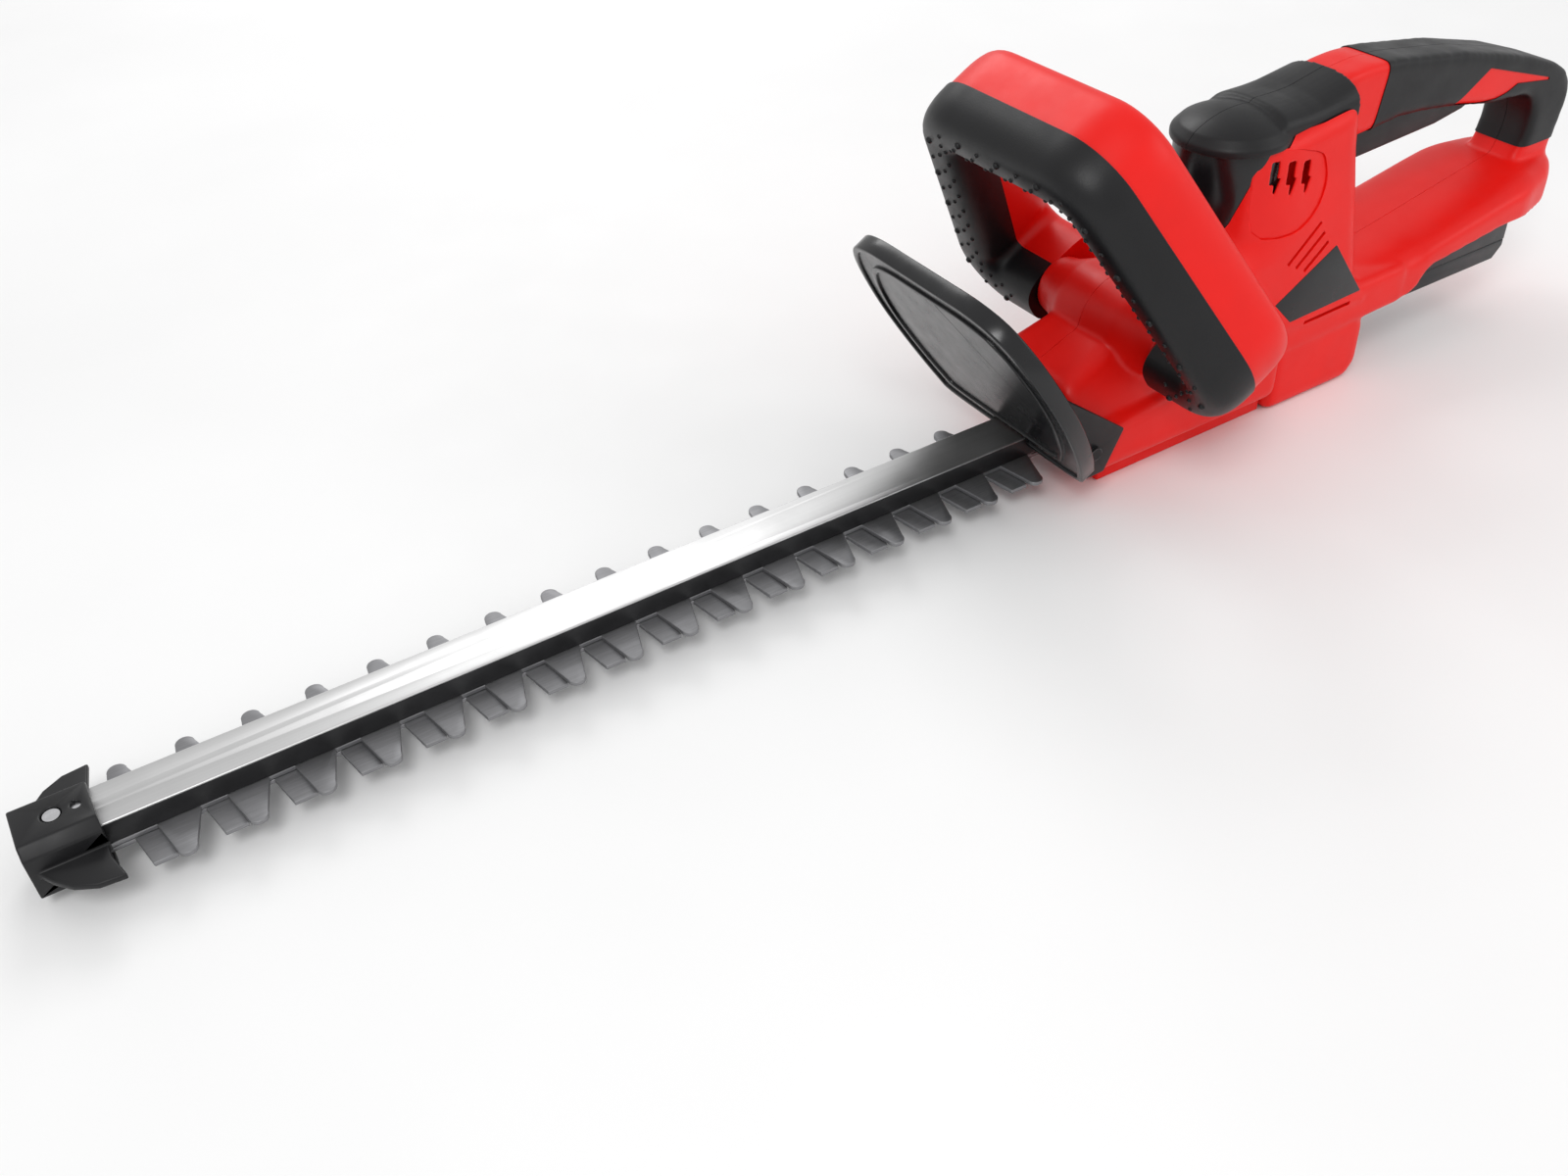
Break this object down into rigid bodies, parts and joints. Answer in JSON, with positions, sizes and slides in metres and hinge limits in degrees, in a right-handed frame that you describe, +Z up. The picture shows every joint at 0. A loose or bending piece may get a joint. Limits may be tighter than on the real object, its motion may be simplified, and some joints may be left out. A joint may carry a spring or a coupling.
{
  "type": "cordless hedge trimmer",
  "caption": "Cordless hedge trimmer with reciprocating double-sided blades, tip guard, hand guard, leaning front loop handle, rear trigger grip and slide-on battery.",
  "frame": {"origin": "under the middle of the whole tool, on the surface that it stands on", "axes": "-X towards the blade tip, +X towards the rear handle, +Y to the operator's right when the blade points away, +Z up"},
  "size_m": [0.927, 0.211, 0.2226],
  "materials": {
    "dark_steel": "satin black",
    "silver_cover": "brushed silver",
    "blade_steel": "ground, oiled",
    "black_steel": "black oxide",
    "bright_steel": "zinc plated",
    "black_plastic": "fine grain",
    "gloss_black": "glossy",
    "cast_alloy": "die cast",
    "gear_steel": "machined",
    "motor_steel": "plated",
    "white_plastic": "moulded",
    "felt": "felt",
    "red_plastic": "satin moulded",
    "label_black": "smooth plate",
    "soft_grip": "soft touch",
    "grey_plastic": "moulded",
    "pack_plastic": "fine grain",
    "cell_wrap": "shrink wrap"
  },
  "bodies": {
    "root": {"guide_bar": "dark_steel", "bar_cover": "silver_cover", "blade_bolts": "black_steel", "blade_washers": "black_steel", "blade_nuts": "black_steel", "tip_guard": "black_plastic", "tip_screws": "bright_steel", "gearbox_case": "cast_alloy", "gearbox_plate": "cast_alloy", "gear_axle": "bright_steel", "axle_washer": "bright_steel", "motor_can": "motor_steel", "motor_end_cap": "black_plastic", "motor_screws": "bright_steel", "blade_seal": "felt", "housing_left": "red_plastic", "housing_right": "red_plastic", "motor_cap_left": "black_plastic", "motor_cap_right": "black_plastic", "barrel_cover": "gloss_black", "vent_panel_left": "red_plastic", "vent_panel_right": "red_plastic", "label_left": "label_black", "label_right": "label_black", "base_cover": "red_plastic", "base_screws": "bright_steel", "hand_guard": "gloss_black", "guard_bracket_left": "black_plastic", "guard_bracket_right": "black_plastic", "guard_screws": "black_steel", "handle_front_shell": "soft_grip", "handle_rear_shell": "red_plastic", "handle_screws": "bright_steel", "grip_pad_left": "soft_grip", "grip_pad_right": "soft_grip", "post_pad_left": "soft_grip", "post_pad_right": "soft_grip", "trigger_pin": "bright_steel", "trigger_spring": "bright_steel", "switch_module": "grey_plastic", "housing_screws": "black_steel", "terminal_block": "grey_plastic"},
    "drive_gear": {"drive_gear": "gear_steel"},
    "motor_rotor": {"motor_shaft": "bright_steel", "motor_pinion": "gear_steel", "cooling_fan": "white_plastic"},
    "upper_blade": {"upper_blade": "blade_steel"},
    "lower_blade": {"lower_blade": "blade_steel"},
    "trigger": {"trigger": "black_plastic"},
    "switch_plunger": {"switch_plunger": "white_plastic"},
    "battery_pack": {"pack_lower": "pack_plastic", "pack_upper": "pack_plastic", "pack_cells": "cell_wrap", "latch_spring": "bright_steel"},
    "pack_latch": {"pack_latch": "grey_plastic"}
  },
  "joints": [
    {"name": "gear_spin", "type": "hinge", "parent": "root", "child": "drive_gear", "pos_m": [0.1615, 0, 0.018], "axis": [0, 0, 1], "range_deg": [-90, 90]},
    {"name": "rotor_spin", "type": "hinge", "parent": "root", "child": "motor_rotor", "pos_m": [0.1925, 0, 0.018], "axis": [0, 0, 1], "range_deg": [-470, 470]},
    {"name": "upper_blade_slide", "type": "slide", "parent": "root", "child": "upper_blade", "axis": [1, 0, 0], "range_m": [-0.0051, 0.0051]},
    {"name": "lower_blade_slide", "type": "slide", "parent": "root", "child": "lower_blade", "axis": [1, 0, 0], "range_m": [-0.0051, 0.0051]},
    {"name": "trigger_pull", "type": "hinge", "parent": "root", "child": "trigger", "pos_m": [0.3775, 0, 0.137], "axis": [0, 1, 0], "range_deg": [0, 4.5], "stiffness_Nm_per_rad": 3, "springref_deg": -2.86, "deforming": ["trigger_spring"]},
    {"name": "plunger_slide", "type": "slide", "parent": "root", "child": "switch_plunger", "axis": [0, 0, 1], "range_m": [0, 0.0055]},
    {"name": "battery_slide", "type": "slide", "parent": "root", "child": "battery_pack", "axis": [1, 0, 0], "range_m": [0, 0.12]},
    {"name": "latch_press", "type": "slide", "parent": "battery_pack", "child": "pack_latch", "axis": [0, 0, -1], "range_m": [0, 0.0025], "stiffness_N_per_m": 600, "springref_m": -0.002, "deforming": ["latch_spring"]}
  ],
  "couplings": [
    {"joint": "rotor_spin", "follows": "gear_spin", "ratio": -5.2},
    {"joint": "upper_blade_slide", "follows": "gear_spin", "m_per_rad": -0.00318},
    {"joint": "lower_blade_slide", "follows": "gear_spin", "m_per_rad": 0.00318},
    {"joint": "plunger_slide", "follows": "trigger_pull", "m_per_rad": 0.068}
  ]
}
